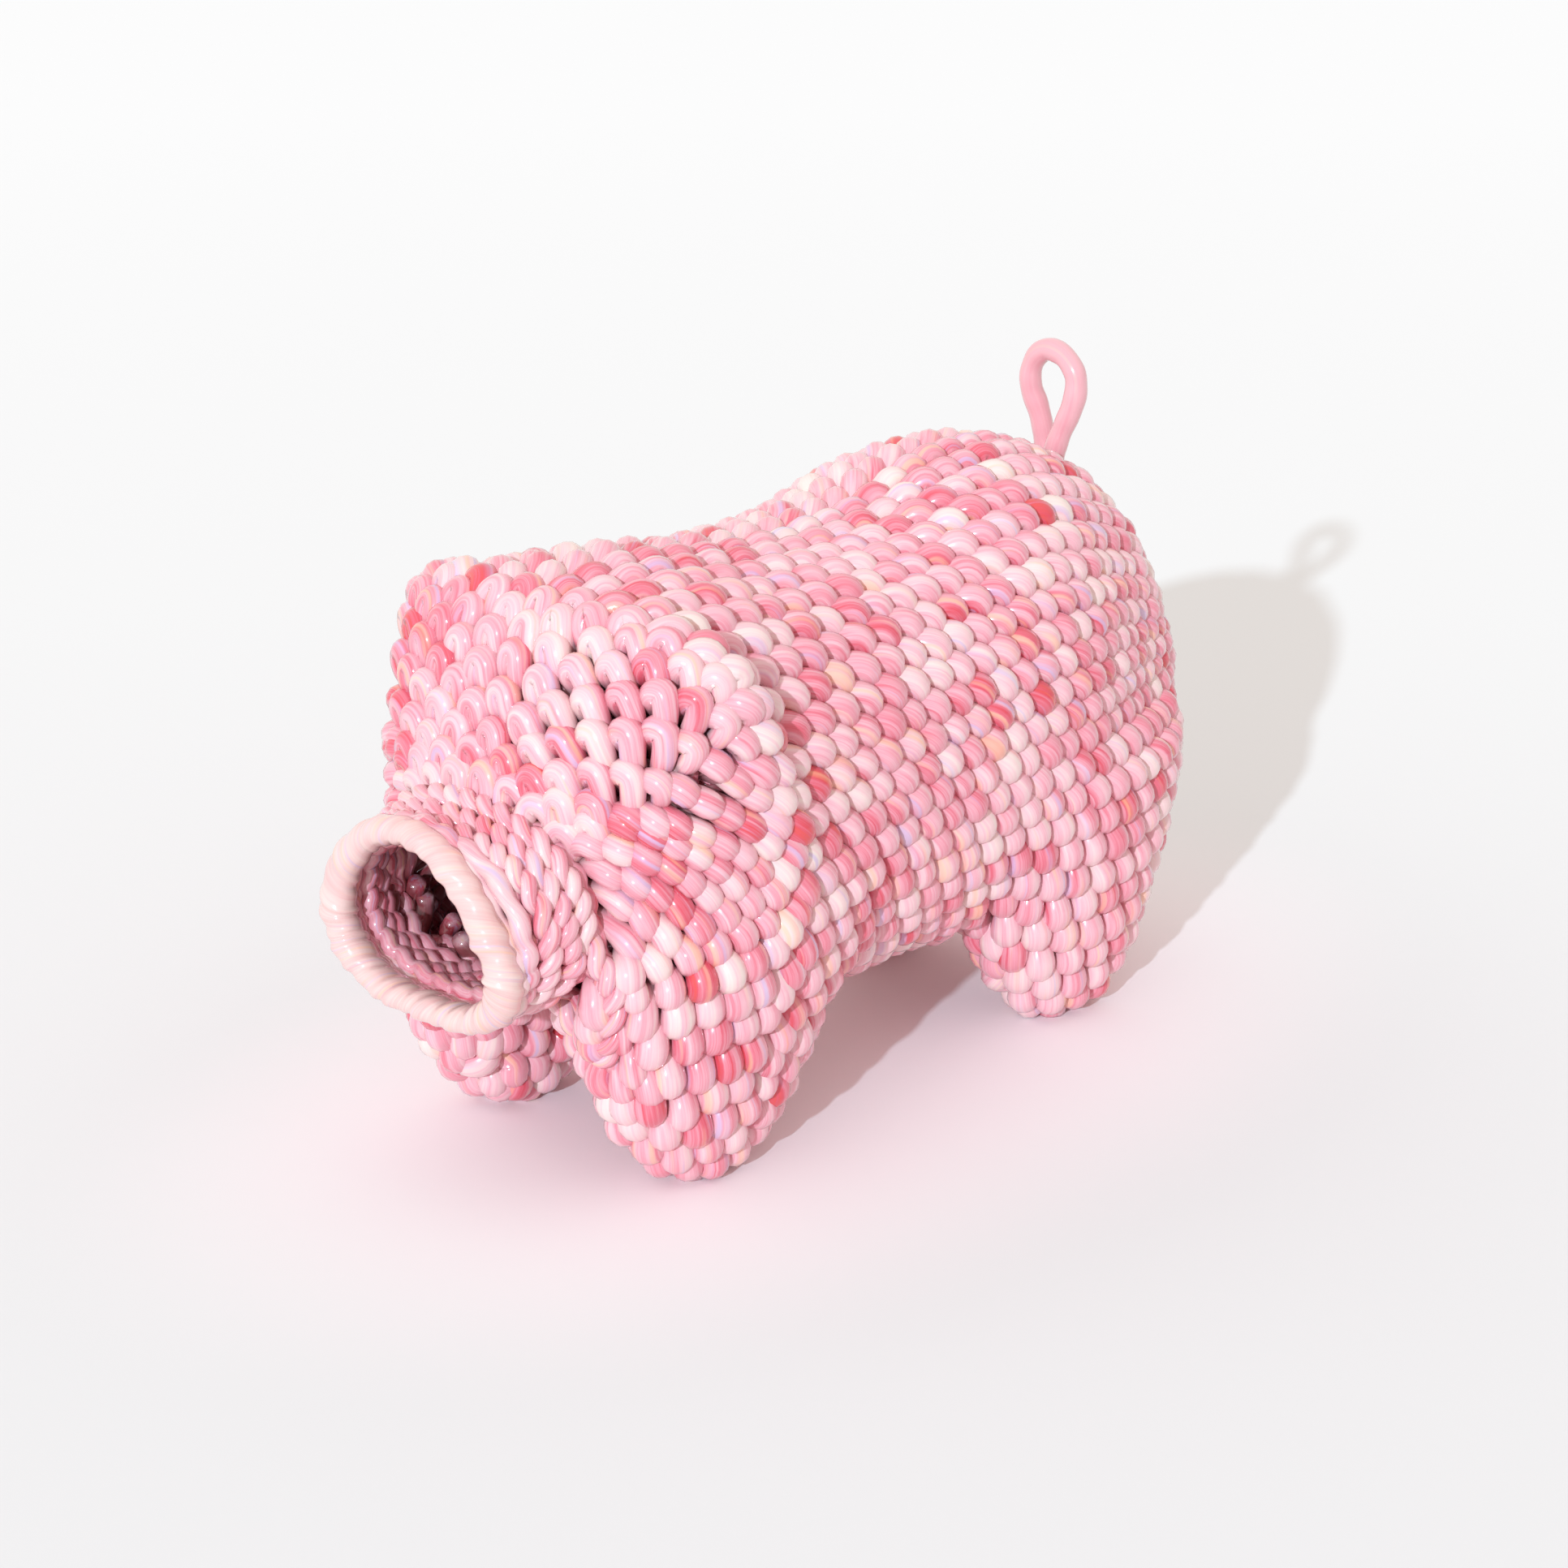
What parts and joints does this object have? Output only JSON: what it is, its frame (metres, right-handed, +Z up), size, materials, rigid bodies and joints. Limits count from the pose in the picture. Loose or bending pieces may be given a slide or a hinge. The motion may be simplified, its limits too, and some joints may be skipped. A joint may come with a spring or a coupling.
{
  "type": "pig figurine",
  "caption": "Hollow standing pig ornament built up from rows of looped glazed ceramic strand, with an open rolled snout, rounded legs and an upright loop for a tail.",
  "frame": {"origin": "on the floor under the middle of the figurine's bounding box", "axes": "-Y is where the snout points, +Y the tail, +X the pig's left flank, +Z up"},
  "size_m": [0.12, 0.2596, 0.1733],
  "materials": {
    "body_glaze": "glossy glaze, marbled white, pale pink, rose and coral",
    "rim_glaze": "glossy glaze, cream pink with faint peach streaks",
    "tail_glaze": "glossy glaze, pale pink"
  },
  "bodies": {
    "root": {"snout_rim": "rim_glaze", "coil_row_01": "body_glaze", "coil_row_02": "body_glaze", "coil_row_03": "body_glaze", "coil_row_04": "body_glaze", "coil_row_05": "body_glaze", "coil_row_06": "body_glaze", "coil_row_07": "body_glaze", "coil_row_08": "body_glaze", "coil_row_09": "body_glaze", "coil_row_10": "body_glaze", "coil_row_11": "body_glaze", "coil_row_12": "body_glaze", "coil_row_13": "body_glaze", "coil_row_14": "body_glaze", "coil_row_15": "body_glaze", "coil_row_16": "body_glaze", "coil_row_17": "body_glaze", "coil_row_18": "body_glaze", "coil_row_19": "body_glaze", "coil_row_20": "body_glaze", "coil_row_21": "body_glaze", "coil_row_22": "body_glaze", "coil_row_23": "body_glaze", "coil_row_24": "body_glaze", "coil_row_25": "body_glaze", "coil_row_26": "body_glaze", "coil_row_27": "body_glaze", "coil_row_28": "body_glaze", "coil_row_29": "body_glaze", "coil_row_30": "body_glaze", "coil_row_31": "body_glaze", "coil_row_32": "body_glaze", "coil_row_33": "body_glaze", "coil_row_34": "body_glaze", "coil_row_35": "body_glaze", "rump_cap": "body_glaze", "tail_loop": "tail_glaze"}
  },
  "joints": []
}
